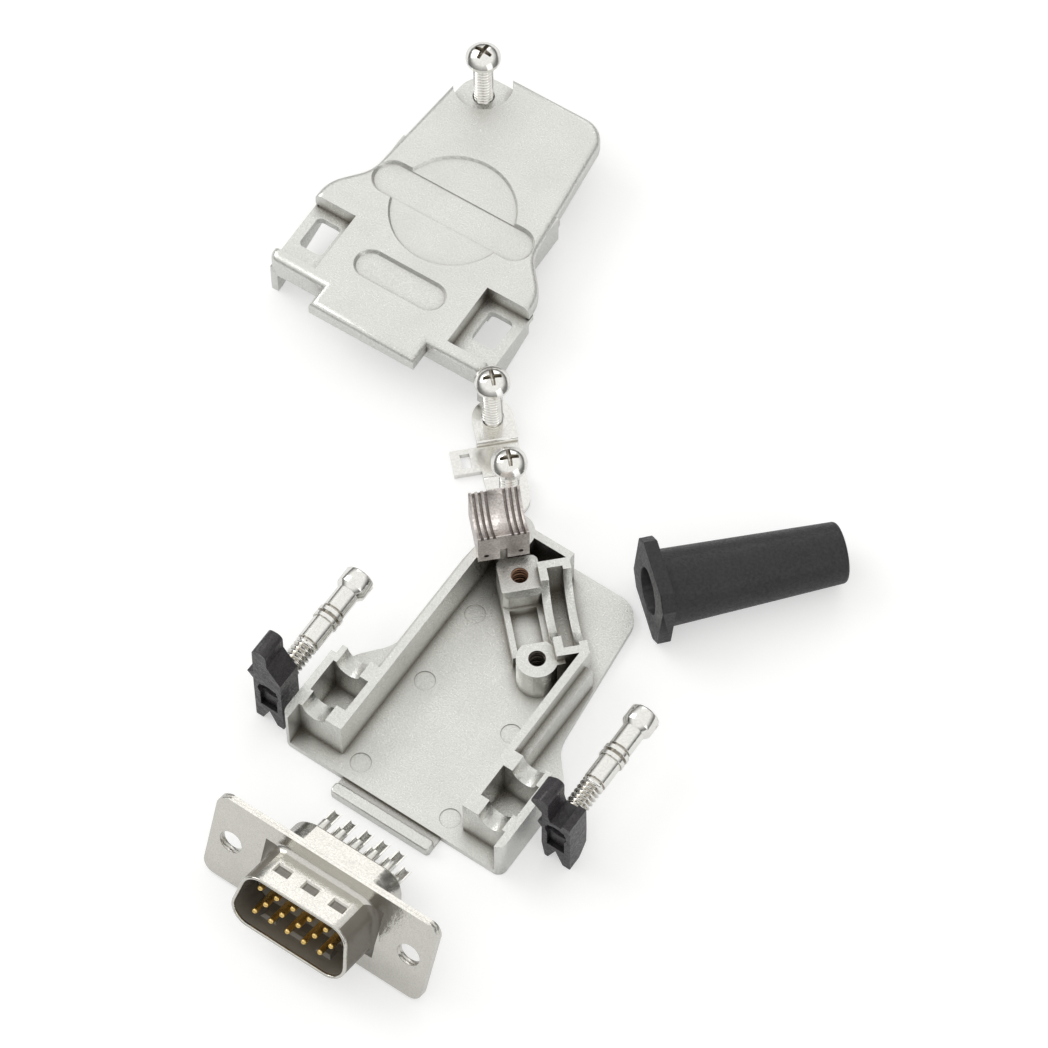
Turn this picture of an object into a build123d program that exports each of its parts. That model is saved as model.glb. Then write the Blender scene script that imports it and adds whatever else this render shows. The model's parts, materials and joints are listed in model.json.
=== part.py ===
"""Cable hood kit for a 15-way high-density D-sub plug, laid out in pieces on a table.

Millimetres, +Z up, the table is Z 0. The origin is the middle of the base half's front edge,
on its underside. +X runs along the connector's width and +Y towards the cable end.
"""

from build123d import *
from math import atan2, cos, radians, sin
import os

os.makedirs("parts", exist_ok=True)

plane_tolerance = 0.01

# Connector interface: a standard shell size E plug
hole_spacing = 24.99
flange_width = 30.81
flange_height = 12.55
flange_hole_d = 3.05
flange_corner_r = 1.6
sheet_t = 0.5
plug_width = 16.92
plug_height = 8.36
plug_depth = 5.9
plug_wall = 0.4
plug_corner_r = 2.6
plug_side_angle = 10.0
rim_r = 0.19
root_bead = 0.7
can_width = 17.6
can_height = 9.0
can_depth = 4.2
can_corner_r = 2.9
dimple_size = (2.5, 1.9)
dimple_pitch = 3.85
dimple_depth = 0.38
dimple_draft = 40
dimple_count = 3
dimple_from_flange = 2.9
insulator_clearance = 0.04
insulator_front = 1.0
insulator_back_proud = 0.5

# Contacts: three rows of five, the middle row shifted by half a pitch
pin_d = 0.76
pin_recess = 0.6
pin_pitch = 2.29
row_pitch = 1.98
row_count = 3
pins_per_row = 5
contact_collar_d = 1.05
cup_d = 1.25
cup_bore_d = 0.85
cup_length = 5.2
cup_bore_depth = 3.0
cup_cut_length = 2.4
contact_clearance = 0.02

# Hood outline, shared by the two halves
hood_side_margin = 0.195
hood_half_width = flange_width / 2 + hood_side_margin
hood_length = 38.2
shoulder_y = 13.2
waist_half_width = 11.8
waist_y = 17.6
shoulder_r = 5.0
rear_half_width = 9.8
rear_corner_r = 3.5
front_corner_r = 1.2
tongue_half_width = 7.6

# Walls that the two halves share
wall_t = 1.0
side_wall_x = 8.6
rear_wall_y = 37.0
block_front_y = 2.3
block_rear_y = 10.2
jack_x = hole_spacing / 2
jack_slot_r = 1.65
saddle_half_width = 2.4
saddle_length = 1.3

# Cable exit at 45 degrees, with the clamp screws on a line across it
exit_centre = (0.6, 27.4)
exit_angle = -45.0
clamp_half_spacing = 5.65
boot_slot_front = 3.2
boot_flange_t = 1.7
boot_slot_clearance = 0.2
boot_flange_size = 10.6
boot_flange_chamfer = 1.6
cable_slot_r = 3.8
cover_screw_at = (-6.9, 35.4)

# Base half
floor_t = 1.0
base_top = 7.4
ledge_w = 1.0
ledge_top = 5.0
ledge_rear_gap = 0.9
boss_r = 2.5
boss_hole_r = 1.05
boss_hole_depth = 4.6
clamp_boss_top = 6.2
clamp_saddle_top = 3.0
clamp_saddle_wall = 0.7
clamp_pocket_floor = 1.7
flange_slot = 1.1
lip_half_length = 7.0
lip_w = 1.5
lip_top = 1.5
lip_base_t = 0.5
mark_r = 1.3
mark_depth = 0.12
mark_spots = ((-6.4, 26.4), (-6.2, 15.7), (-6.2, 2.6), (6.6, 2.6), (6.2, 15.7))

# Cover half
cover_at = (-37.9, 50.3)
cover_turn = 2.0
cover_h = 8.0
cover_top_t = 1.1
skirt_h = 2.2
cover_edge_r = 0.9
cover_tongue_y = 3.0
cover_lip_t = 1.1
pad_x = 9.6
pad_front_y = 1.6
pad_rear_y = 10.6
pad_z = 5.5
pad_t = 1.0
window_size = (3.4, 4.7)
window_y = 7.0
window_corner_r = 0.7
leg_front_y = 1.3
leg_rear_z = 2.6
tab_z = 5.4
tab_t = 1.3
tab_notch_r = 3.8
tab_wall = 0.9
cover_boss_r = 2.6
screw_clear_r = 1.4
disc_recess_r = 8.0
disc_recess_y = 17.7
disc_recess_depth = 0.35
bar_recess_size = (23.0, 5.1)
bar_recess_depth = 0.5
plate_recess_size = (12.8, 4.2)
plate_recess_y = 5.8
plate_recess_depth = 0.45
recess_draft = 35
rib_x = 10.4
rib_y = (14.5, 24.0)
rib_z = 2.7

# Clamp strap, screws and insert
strap_at = (-15.9, 45.6)
strap_w = 5.1
strap_t = 0.8
strap_ear_z = 0.8
strap_middle = 6.2
strap_bend_r = 0.35
strap_hole_r = 1.4
strap_tab_size = (3.4, 3.4)
strap_tab_slot = (2.0, 1.2)
screw_d = 2.5
screw_head_d = 4.4
screw_head_h = 1.9
screw_rim_h = 0.6
screw_tip = 0.35
clamp_screw_length = 9.5
cover_screw_length = 13.5
cross_span = 2.5
cross_w = 0.62
cross_depth = 1.1
cross_taper = 12
insert_at = (-8.2, 34.05)
insert_length = 6.5
insert_width = 6.2
insert_h = 5.3
trough_r = 3.8
trough_depth = 1.6
groove_w = 0.36
groove_depth = 0.3
groove_pitch = 0.72
groove_inset = 0.55
grooves_per_end = 3
insert_notch = (0.9, 2.2)
insert_hole_r = 0.3

# Cable boot
boot_at = (10.1, 38.6)
boot_heading = 49.5
boot_length = 24.0
boot_root_r = 4.7
boot_end_r = 3.75
boot_bore_r = 2.9
boot_end_round = 0.5

# Jackscrews and their clips
jack_thread_r = 1.4225
jack_shank_r = 1.45
jack_groove_r = 1.2
jack_collar_r = 1.65
jack_head_r = 1.95
jack_thread_length = 6.0
jack_groove_w = 0.35
jack_lower_shank = 3.2
jack_collar_w = 0.6
jack_upper_shank = 2.9
jack_neck = 0.6
jack_head_length = 2.15
jack_tip = 0.5
jack_slot_w = 0.7
jack_slot_depth = 1.0
jack_clearance = 0.07
clip_depth = 3.4
clip_axis_z = 7.2
clip_reach = 1.7
clip_wall = 0.45
clip_hook_round = 0.8
clip_pocket = (2.4, 3.4, 8.4)
clip_pocket_depth = 0.6
clip_heel = (1.4, 2.0)
clip_foot_w = 0.9
clip_notch_z = 2.6
clip_flare = 0.1
left_clip_shoulder_z = 10.8
left_clip_beak = ((0.1, 13.7), (0.1, 16.4), (-1.9, 16.1))
left_clip_barb = 0.9
left_clip_barb_z = (12.8, 10.6, 10.0, 9.0)
right_clip_toe_z = 3.0
right_clip_bump = 0.6
right_clip_bump_z = (6.9, 7.7, 8.6)
right_clip_shoulder_z = 10.6
right_clip_beak = ((3.4, 12.0), (3.4, 12.8), (1.1, 14.4), (1.1, 10.6))
right_clip_seat = ((0.8, 9.4), (-0.7, 9.4), (-0.9, 10.1))
right_clip_flare_z = 5.5
left_clip_gap = 2.82
right_clip_gap = 3.9
left_clip_y = 1.4
right_clip_y = 5.4

# Connector placement, leaning back on its solder cups
connector_x = 1.5
connector_front_y = -17.5


def moved(frame, x, y, z=0.0, turn=0.0):
    """The frame's own plane, shifted within it and turned about its normal."""
    return Plane(frame.location * Location((x, y, z), (0, 0, turn)))


def looking_along_y(frame, x, y, z):
    """A plane at a point of the frame whose normal is the frame's Y and whose X is its X."""
    return Plane(frame.location * Location((x, y, z), (-90, 0, 0)))


def looking_along_x(frame, x, y, z):
    """A plane at a point of the frame whose normal is the frame's X, with Y across and Z up."""
    return Plane(frame.location * Location((x, y, z), (90, 90, 0)))


def facing_front(frame, y=0.0):
    """A plane across the frame whose X is its X, whose Y is up and whose normal is its -Y."""
    return Plane(frame.location * Location((0, y, 0), (90, 0, 0)))


def bar(x0, y0, x1, y1, mode=Mode.ADD):
    """A rectangle between two corners, in the sketch that is open."""
    with Locations(((x0 + x1) / 2, (y0 + y1) / 2)):
        Rectangle(abs(x1 - x0), abs(y1 - y0), mode=mode)


def save(piece, name):
    """Label a finished piece and write it."""
    piece.part.label = name
    export_step(piece.part, f"parts/{name}.step")


def d_outline(width, height, corner_r, grow=0.0):
    """The D of a connector shell, wide side down, in the sketch that is open."""
    face = Trapezoid(width, height, 90 - plug_side_angle)
    fillet(face.vertices(), corner_r)
    if grow:
        offset(amount=grow, mode=Mode.REPLACE)


# Outlines in plan that both hood halves use
with BuildSketch() as hood_outline:
    with BuildLine():
        Polyline(
            (0, 0),
            (hood_half_width, 0),
            (hood_half_width, shoulder_y),
            (waist_half_width, waist_y),
            (rear_half_width, hood_length),
            (0, hood_length),
            close=True,
        )
    make_face()
    for corner, radius in (
        ((hood_half_width, 0), front_corner_r),
        ((hood_half_width, shoulder_y), shoulder_r),
        ((waist_half_width, waist_y), shoulder_r),
        ((rear_half_width, hood_length), rear_corner_r),
    ):
        fillet(hood_outline.vertices().sort_by_distance(corner)[0], radius)
    mirror(about=Plane.YZ)

base_frame = Plane.XY
cover_frame = moved(base_frame, *cover_at, turn=cover_turn)
side_wall_outer = side_wall_x + wall_t
rear_wall_inner = rear_wall_y - wall_t
boot_slot_rear = boot_slot_front + boot_flange_t + boot_slot_clearance
exit_wall_outer = boot_slot_rear + wall_t
boot_slot_half = (boot_flange_size + boot_slot_clearance) / 2
collar_half = boot_slot_half + wall_t
boot_slot_r = boot_root_r + boot_slot_clearance

# Walls round the cable exit: X along the clamp screws, Y along the cable
with BuildSketch() as collar_plan:
    bar(-collar_half, boot_slot_rear, collar_half, exit_wall_outer)
    bar(-collar_half, boot_slot_front - wall_t, collar_half, boot_slot_front)
    for side in (-1, 1):
        bar(side * boot_slot_half, boot_slot_front - wall_t, side * collar_half, exit_wall_outer)

exit_turn = radians(exit_angle)
exit_x = Vector(cos(exit_turn), sin(exit_turn))
exit_y = Vector(-sin(exit_turn), cos(exit_turn))
collar_left = Vector(*exit_centre) - exit_x * collar_half + exit_y * exit_wall_outer
collar_right = Vector(*exit_centre) + exit_x * collar_half + exit_y * exit_wall_outer

# Long side walls and the rear wall up to the cable exit
with BuildSketch() as side_wall_plan:
    bar(-side_wall_outer, block_front_y, -side_wall_x, rear_wall_y)
    bar(side_wall_x, block_front_y, side_wall_outer, collar_right.Y)
    bar(-side_wall_outer, rear_wall_inner, collar_left.X + wall_t / 4, rear_wall_y)

# Base half: floor, walls, jackscrew blocks, clamp bosses and the front lip
base_exit = moved(base_frame, *exit_centre, turn=exit_angle)
with BuildPart() as base_shell:
    with BuildSketch():
        add(hood_outline.sketch)
    extrude(amount=floor_t)
    with BuildSketch():
        add(side_wall_plan.sketch)
        for side in (-1, 1):
            bar(side * (hood_half_width - wall_t), 0, side * hood_half_width, block_rear_y)
            bar(side * side_wall_x, block_rear_y - wall_t, side * hood_half_width, block_rear_y)
            saddle_y = block_front_y + wall_t
            bar(side * side_wall_x, block_front_y, side * hood_half_width, saddle_y + saddle_length)
            saddle_end_x = jack_x + saddle_half_width
            bar(side * side_wall_x, block_rear_y, side * saddle_end_x, block_rear_y + saddle_length)
        add(hood_outline.sketch, mode=Mode.INTERSECT)
    extrude(amount=base_top)
    # ledges outside the side walls, where the cover's edge comes down
    with BuildSketch():
        bar(-side_wall_outer - ledge_w, block_rear_y, -side_wall_outer, rear_wall_y - rear_corner_r)
        bar(side_wall_outer, block_rear_y, side_wall_outer + ledge_w, collar_right.Y - ledge_rear_gap)
        add(hood_outline.sketch, mode=Mode.INTERSECT)
    extrude(amount=ledge_top)
    # cable exit and clamp bosses
    with BuildSketch(base_exit):
        add(collar_plan.sketch)
    extrude(amount=base_top)
    with BuildSketch(base_exit):
        with Locations((-clamp_half_spacing, 0)):
            RectangleRounded(2 * boss_r, 2 * boss_r, boss_r / 3)
        with Locations((clamp_half_spacing, 0)):
            Circle(boss_r)
        for side in (-1, 1):
            with Locations((side * clamp_half_spacing, boot_slot_front / 2)):
                Rectangle(boss_r, boot_slot_front)
    extrude(amount=clamp_boss_top)
    with BuildSketch():
        with Locations(cover_screw_at):
            Circle(boss_r)
    extrude(amount=base_top)
    # lowered saddle between the bosses, with a pocket in it
    saddle_x = clamp_half_spacing - boss_r + clamp_saddle_wall / 2
    with BuildSketch(base_exit):
        bar(-saddle_x, -boss_r, saddle_x, boot_slot_front - wall_t)
    extrude(amount=clamp_saddle_top)
    with BuildSketch(base_exit.offset(clamp_pocket_floor)):
        bar(
            -saddle_x + clamp_saddle_wall,
            -boss_r + clamp_saddle_wall,
            saddle_x - clamp_saddle_wall,
            boot_slot_front - wall_t - clamp_saddle_wall,
        )
    extrude(amount=base_top, mode=Mode.SUBTRACT)
    # tapped holes
    with BuildSketch(base_exit.offset(clamp_boss_top)):
        with Locations((-clamp_half_spacing, 0), (clamp_half_spacing, 0)):
            Circle(boss_hole_r)
    extrude(amount=-boss_hole_depth, mode=Mode.SUBTRACT)
    with BuildSketch(base_frame.offset(base_top)):
        with Locations(cover_screw_at):
            Circle(boss_hole_r)
    extrude(amount=-boss_hole_depth, mode=Mode.SUBTRACT)
    # round-bottomed slots for the jackscrews, the boot and the cable
    for side in (-1, 1):
        with BuildSketch(looking_along_y(base_frame, side * jack_x, block_front_y - wall_t, base_top)):
            Circle(jack_slot_r)
        extrude(amount=block_rear_y - block_front_y + saddle_length + 2 * wall_t, mode=Mode.SUBTRACT)
    with BuildSketch(looking_along_y(base_exit, 0, boot_slot_rear - wall_t / 2, base_top)):
        Circle(boot_slot_r)
    extrude(amount=2 * wall_t, mode=Mode.SUBTRACT)
    with BuildSketch(looking_along_y(base_exit, 0, -boss_r, base_top)):
        Circle(cable_slot_r)
    extrude(amount=boss_r + boot_slot_front + wall_t / 2, mode=Mode.SUBTRACT)
    # faint ejector marks on the floor
    with BuildSketch(base_frame.offset(floor_t)):
        with Locations(*mark_spots):
            Circle(mark_r)
    extrude(amount=-mark_depth, mode=Mode.SUBTRACT)
    # front lip that hooks the connector's flange
    with BuildSketch():
        bar(-lip_half_length, -flange_slot - lip_w / 2, lip_half_length, front_corner_r)
    extrude(amount=lip_base_t)
    with BuildSketch():
        with Locations((0, -flange_slot - lip_w / 2)):
            RectangleRounded(2 * lip_half_length, lip_w, lip_w / 3)
    extrude(amount=lip_top)
    near_lip_top = (lip_top - plane_tolerance, lip_top + plane_tolerance)
    lip_top_face = base_shell.faces().filter_by_position(Axis.Z, *near_lip_top)
    fillet(lip_top_face.sort_by(Axis.Y)[0].edges(), lip_base_t / 2)
save(base_shell, "base_shell")

# Cover half: stands on its front legs, its inner walls and its screw boss
cover_exit = moved(cover_frame, *exit_centre, turn=exit_angle)
cover_ceiling = cover_h - cover_top_t
skirt_z = cover_h - skirt_h
pad_wall_y = pad_rear_y + wall_t
with BuildPart() as cover_shell:
    with BuildSketch(cover_frame.offset(skirt_z)):
        add(hood_outline.sketch)
        bar(-tongue_half_width, -cover_tongue_y, tongue_half_width, front_corner_r)
    extrude(amount=skirt_h)
    fillet(cover_shell.faces().sort_by(Axis.Z)[-1].edges(), cover_edge_r)
    with BuildSketch(cover_frame.offset(tab_z)):
        with Locations(cover_screw_at):
            Circle(tab_notch_r)
    extrude(amount=cover_h, mode=Mode.SUBTRACT)
    # hollow below the top
    with BuildSketch(cover_frame.offset(skirt_z)):
        add(hood_outline.sketch)
        offset(amount=-wall_t, mode=Mode.REPLACE)
        bar(
            -tongue_half_width + cover_lip_t,
            -cover_tongue_y + cover_lip_t,
            tongue_half_width - cover_lip_t,
            2 * wall_t,
        )
    extrude(amount=skirt_h - cover_top_t, mode=Mode.SUBTRACT)
    # front wall under the skirt, down to the pads
    with BuildSketch(cover_frame.offset(pad_z - pad_t)):
        for side in (-1, 1):
            bar(side * (tongue_half_width - wall_t), 0, side * hood_half_width, pad_front_y)
        add(hood_outline.sketch, mode=Mode.INTERSECT)
    extrude(amount=skirt_z - pad_z + pad_t + wall_t / 2)
    # recessed pads over the jackscrews, open to the sides
    with BuildSketch(cover_frame.offset(pad_z)):
        for side in (-1, 1):
            bar(side * pad_x, pad_front_y, side * 2 * hood_half_width, pad_rear_y)
    extrude(amount=cover_h, mode=Mode.SUBTRACT)
    with BuildSketch(cover_frame.offset(pad_z - pad_t)):
        for side in (-1, 1):
            bar(side * (pad_x - wall_t), 0, side * hood_half_width, pad_wall_y)
        add(hood_outline.sketch, mode=Mode.INTERSECT)
    extrude(amount=pad_t)
    with BuildSketch(cover_frame.offset(pad_z - pad_t)):
        for side in (-1, 1):
            bar(side * (pad_x - wall_t), 0, side * pad_x, pad_wall_y)
            bar(side * (pad_x - wall_t), pad_rear_y, side * (hood_half_width - wall_t / 2), pad_wall_y)
        add(hood_outline.sketch, mode=Mode.INTERSECT)
    extrude(amount=cover_ceiling + cover_top_t / 2 - pad_z + pad_t)
    # legs at the sides, cut on a slant below
    for side in (-1, 1):
        with BuildSketch(looking_along_x(cover_frame, side * (hood_half_width - wall_t / 2), 0, 0)):
            with BuildLine():
                Polyline(
                    (front_corner_r / 3, 0),
                    (leg_front_y, 0),
                    (pad_rear_y, leg_rear_z),
                    (pad_rear_y, pad_z - pad_t / 2),
                    (front_corner_r / 3, pad_z - pad_t / 2),
                    close=True,
                )
            make_face()
        extrude(amount=wall_t / 2, both=True)
    # inner walls and the cable exit, down to the joint between the halves
    with BuildSketch(cover_frame):
        add(side_wall_plan.sketch)
        bar(-hood_half_width, 0, hood_half_width, pad_rear_y, mode=Mode.SUBTRACT)
    extrude(amount=tab_z - tab_t / 2)
    with BuildSketch(cover_frame.offset(tab_z - tab_t / 2)):
        add(side_wall_plan.sketch)
        bar(-hood_half_width, 0, hood_half_width, pad_rear_y, mode=Mode.SUBTRACT)
        with Locations(cover_screw_at):
            Circle(tab_notch_r + tab_wall / 2, mode=Mode.SUBTRACT)
    extrude(amount=cover_ceiling + cover_top_t / 2 - tab_z + tab_t / 2)
    with BuildSketch(cover_exit):
        add(collar_plan.sketch)
    extrude(amount=cover_ceiling + cover_top_t / 2)
    with BuildSketch(looking_along_y(cover_exit, 0, boot_slot_rear - wall_t / 2, 0)):
        Circle(boot_slot_r)
    extrude(amount=2 * wall_t, mode=Mode.SUBTRACT)
    with BuildSketch(looking_along_y(cover_exit, 0, boot_slot_front - 2 * wall_t, 0)):
        Circle(cable_slot_r)
    extrude(amount=5 * wall_t / 2, mode=Mode.SUBTRACT)
    # guide ribs that reach below the skirt
    with BuildSketch(cover_frame.offset(rib_z)):
        for side in (-1, 1):
            bar(side * rib_x, rib_y[0], side * (rib_x + wall_t), rib_y[1])
    extrude(amount=cover_ceiling - rib_z + cover_top_t / 2)
    # screw tab in the notched corner
    with BuildSketch(cover_frame.offset(tab_z - tab_t)):
        add(hood_outline.sketch)
        with Locations(cover_screw_at):
            Circle(tab_notch_r + tab_wall, mode=Mode.INTERSECT)
    extrude(amount=tab_t)
    with BuildSketch(cover_frame.offset(tab_z - tab_t)):
        add(hood_outline.sketch)
        offset(amount=-wall_t / 2, mode=Mode.REPLACE)
        with Locations(cover_screw_at):
            Circle(tab_notch_r + tab_wall, mode=Mode.INTERSECT)
            Circle(tab_notch_r, mode=Mode.SUBTRACT)
    extrude(amount=cover_ceiling - tab_z + tab_t + cover_top_t / 2)
    with BuildSketch(cover_frame):
        with Locations(cover_screw_at):
            Circle(cover_boss_r)
    extrude(amount=tab_z - tab_t / 2)
    with BuildSketch(cover_frame):
        with Locations(cover_screw_at):
            Circle(screw_clear_r)
    extrude(amount=cover_h, mode=Mode.SUBTRACT)
    # windows through the pads
    with BuildSketch(cover_frame):
        for side in (-1, 1):
            with Locations((side * (pad_x + hood_half_width) / 2, window_y)):
                RectangleRounded(*window_size, window_corner_r)
    extrude(amount=cover_h, mode=Mode.SUBTRACT)
    # shallow recesses in the top
    with BuildSketch(cover_frame.offset(cover_h)):
        with Locations((0, disc_recess_y)):
            Circle(disc_recess_r)
    extrude(amount=-disc_recess_depth, taper=recess_draft, mode=Mode.SUBTRACT)
    with BuildSketch(cover_frame.offset(cover_h)):
        with Locations((0, disc_recess_y)):
            SlotOverall(*bar_recess_size)
    extrude(amount=-bar_recess_depth, taper=recess_draft, mode=Mode.SUBTRACT)
    with BuildSketch(cover_frame.offset(cover_h)):
        with Locations((0, plate_recess_y)):
            SlotOverall(*plate_recess_size)
    extrude(amount=-plate_recess_depth, taper=recess_draft, mode=Mode.SUBTRACT)
save(cover_shell, "cover_shell")

# Pan head screws with a cross recess, standing on their tips
strap_frame = moved(base_frame, *strap_at, turn=exit_angle)
screws = {
    "cover_screw": (moved(cover_frame, *cover_screw_at), cover_screw_length),
    "clamp_screw_near": (moved(strap_frame, clamp_half_spacing, 0), clamp_screw_length),
    "clamp_screw_far": (moved(strap_frame, -clamp_half_spacing, 0), clamp_screw_length),
}
for name, (screw_frame, screw_length) in screws.items():
    screw_top = screw_length + screw_head_h
    dome_h = screw_head_h - screw_rim_h
    dome_r = (screw_head_d**2 / 4 + dome_h**2) / (2 * dome_h)
    with BuildPart() as screw:
        with BuildSketch(facing_front(screw_frame)):
            with BuildLine():
                shaft = Polyline(
                    (0, screw_top),
                    (0, 0),
                    (screw_d / 2 - screw_tip, 0),
                    (screw_d / 2, screw_tip),
                    (screw_d / 2, screw_length),
                    (screw_head_d / 2, screw_length),
                    (screw_head_d / 2, screw_length + screw_rim_h),
                )
                RadiusArc(shaft @ 1, shaft @ 0, -dome_r)
            make_face()
        revolve(axis=Axis(screw_frame.origin, screw_frame.z_dir))
        with BuildSketch(screw_frame.offset(screw_top)):
            Rectangle(cross_span, cross_w)
            Rectangle(cross_w, cross_span)
        extrude(amount=-cross_depth, taper=cross_taper, mode=Mode.SUBTRACT)
    save(screw, name)

# Clamp strap: stamped, with raised ears and a slotted side tab
strap_half = clamp_half_spacing + strap_w / 2
strap_tab_end = strap_w / 2 + strap_tab_size[1]
strap_tab_start = strap_t - strap_middle / 2
with BuildPart() as clamp_strap:
    with BuildSketch(facing_front(strap_frame)) as strap_profile:
        bar(-strap_middle / 2, 0, strap_middle / 2, strap_t)
        for side in (-1, 1):
            bar(side * (strap_middle / 2 - strap_t), 0, side * strap_middle / 2, strap_ear_z + strap_t)
            bar(side * (strap_middle / 2 - strap_t), strap_ear_z, side * strap_half, strap_ear_z + strap_t)
        bends = strap_profile.vertices().filter_by(lambda v: abs(v.X) < strap_half - strap_t)
        outer = bends.filter_by(lambda v: v.Y < strap_t / 2 or v.Y > strap_ear_z + strap_t / 2)
        fillet(outer, strap_bend_r)
    extrude(amount=strap_tab_end, both=True)
    with BuildSketch(strap_frame):
        SlotOverall(2 * strap_half, strap_w)
        bar(strap_tab_start, -strap_tab_end, strap_tab_start + strap_tab_size[0], 0)
    extrude(amount=strap_ear_z + 2 * strap_t, mode=Mode.INTERSECT)
    with BuildSketch(strap_frame):
        with Locations((-clamp_half_spacing, 0), (clamp_half_spacing, 0)):
            Circle(strap_hole_r)
        with Locations((strap_tab_start + strap_tab_size[0] / 2, -(strap_w + strap_tab_size[1]) / 2)):
            Rectangle(*strap_tab_slot)
    extrude(amount=strap_ear_z + 2 * strap_t, mode=Mode.SUBTRACT)
save(clamp_strap, "clamp_strap")

# Clamp insert: a trough for the cable with gripping ribs across it, set down on the base's walls
insert_frame = moved(base_frame, *insert_at, base_top, turn=90 + exit_angle)
trough_z = insert_h - trough_depth + trough_r
groove_first = insert_width / 2 - groove_inset
with BuildPart() as clamp_insert:
    with BuildSketch(insert_frame):
        Rectangle(insert_width, insert_length)
    extrude(amount=insert_h)
    for reach, bands in (
        (trough_r, [(0, insert_width)]),
        (
            trough_r + groove_depth,
            [
                (side * (groove_first - n * groove_pitch), groove_w)
                for side in (-1, 1)
                for n in range(grooves_per_end)
            ],
        ),
    ):
        for band_x, band_w in bands:
            with BuildSketch(looking_along_x(insert_frame, band_x, 0, trough_z)):
                Circle(reach)
            extrude(amount=band_w / 2, both=True, mode=Mode.SUBTRACT)
    with BuildSketch(facing_front(insert_frame, -insert_length / 2)):
        bar(-insert_notch[0] / 2, 0, insert_notch[0] / 2, insert_notch[1])
        for side in (-1, 1):
            with Locations((side * insert_width / 3, insert_notch[1] / 2)):
                Circle(insert_hole_r)
    extrude(amount=-insert_notch[0], mode=Mode.SUBTRACT)
save(clamp_insert, "clamp_insert")

# Cable boot: an eight-sided flange and a tapered sleeve, lying on the table
boot_tilt = atan2(boot_flange_size / 2 - boot_end_r, boot_length - boot_flange_t)
boot_axis_z = boot_flange_t * sin(boot_tilt) + boot_flange_size / 2 * cos(boot_tilt)
boot_turn = radians(boot_heading)
boot_frame = Plane(
    origin=(*boot_at, boot_axis_z),
    x_dir=(-sin(boot_turn), cos(boot_turn), 0),
    z_dir=(cos(boot_turn) * cos(boot_tilt), sin(boot_turn) * cos(boot_tilt), -sin(boot_tilt)),
)
with BuildPart() as cable_boot:
    with BuildSketch(boot_frame):
        square = Rectangle(boot_flange_size, boot_flange_size)
        chamfer(square.vertices(), boot_flange_chamfer)
    extrude(amount=boot_flange_t)
    with BuildSketch(boot_frame.offset(boot_flange_t)):
        Circle(boot_root_r)
    with BuildSketch(boot_frame.offset(boot_length)):
        Circle(boot_end_r)
    loft()
    boot_axis = Axis(boot_frame.origin, boot_frame.z_dir)
    fillet(cable_boot.faces().sort_by(boot_axis)[-1].edges(), boot_end_round)
    with BuildSketch(boot_frame):
        Circle(boot_bore_r)
    extrude(amount=boot_length, mode=Mode.SUBTRACT)
save(cable_boot, "cable_boot")

# Jackscrews: threaded tip, grooved collar and slotted head, each lying through its clip
jack_lengths = (
    (jack_thread_length, jack_thread_r),
    (jack_groove_w, jack_groove_r),
    (jack_lower_shank, jack_shank_r),
    (jack_collar_w, jack_collar_r),
    (jack_groove_w, jack_groove_r),
    (jack_collar_w, jack_collar_r),
    (jack_groove_w, jack_groove_r),
    (jack_upper_shank, jack_shank_r),
)
clips = {
    "left": (-hood_half_width - left_clip_gap, left_clip_y, 1),
    "right": (hood_half_width + right_clip_gap, right_clip_y, -1),
}
for side_name, (clip_x, clip_y, _) in clips.items():
    jack_frame = Plane(origin=(clip_x, clip_y + clip_reach, clip_axis_z), x_dir=(1, 0, 0), z_dir=(0, 0, 1))
    with BuildPart() as jackscrew:
        with BuildSketch(jack_frame):
            outline = [(0, 0), (jack_thread_r - jack_tip / 2, 0), (jack_thread_r, jack_tip)]
            along = 0.0
            for step, radius in jack_lengths:
                if along:
                    outline.append((radius, along))
                along += step
                outline.append((radius, along))
            outline.append((jack_head_r, along + jack_neck))
            along += jack_neck + jack_head_length
            outline += [
                (jack_head_r, along - jack_tip / 2),
                (jack_head_r - jack_tip / 2, along),
                (0, along),
            ]
            with BuildLine():
                Polyline(*outline, close=True)
            make_face()
        revolve(axis=Axis(jack_frame.origin, jack_frame.y_dir))
        with BuildSketch(looking_along_y(jack_frame, 0, along, 0)):
            Rectangle(3 * jack_head_r, jack_slot_w)
        extrude(amount=-jack_slot_depth, mode=Mode.SUBTRACT)
    save(jackscrew, f"jackscrew_{side_name}")

# Clips that hold the jackscrews, in profile: across towards the hood, and up from the table
clip_bore_r = jack_thread_r + jack_clearance
clip_side = clip_bore_r + clip_wall
clip_feet = (
    (-clip_side - clip_flare, 0),
    (-clip_side + clip_foot_w, 0),
    (0, clip_notch_z),
    (clip_side - clip_foot_w, 0),
)
clip_profiles = {
    "left": (
        *clip_feet,
        (clip_side, 0),
        (clip_side, left_clip_shoulder_z),
        *left_clip_beak,
        (-clip_side, left_clip_barb_z[0]),
        (-clip_side, left_clip_barb_z[1]),
        (-clip_side - left_clip_barb, left_clip_barb_z[2]),
        (-clip_side - clip_flare, left_clip_barb_z[3]),
    ),
    "right": (
        *clip_feet,
        (clip_side - clip_foot_w / 2, 0),
        (clip_side, right_clip_toe_z),
        (clip_side, right_clip_bump_z[0]),
        (clip_side + right_clip_bump, right_clip_bump_z[1]),
        (clip_side, right_clip_bump_z[2]),
        (clip_side, right_clip_shoulder_z),
        *right_clip_beak,
        *right_clip_seat,
        (-clip_side, right_clip_seat[-1][1]),
        (-clip_side - clip_flare, right_clip_flare_z),
    ),
}
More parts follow.
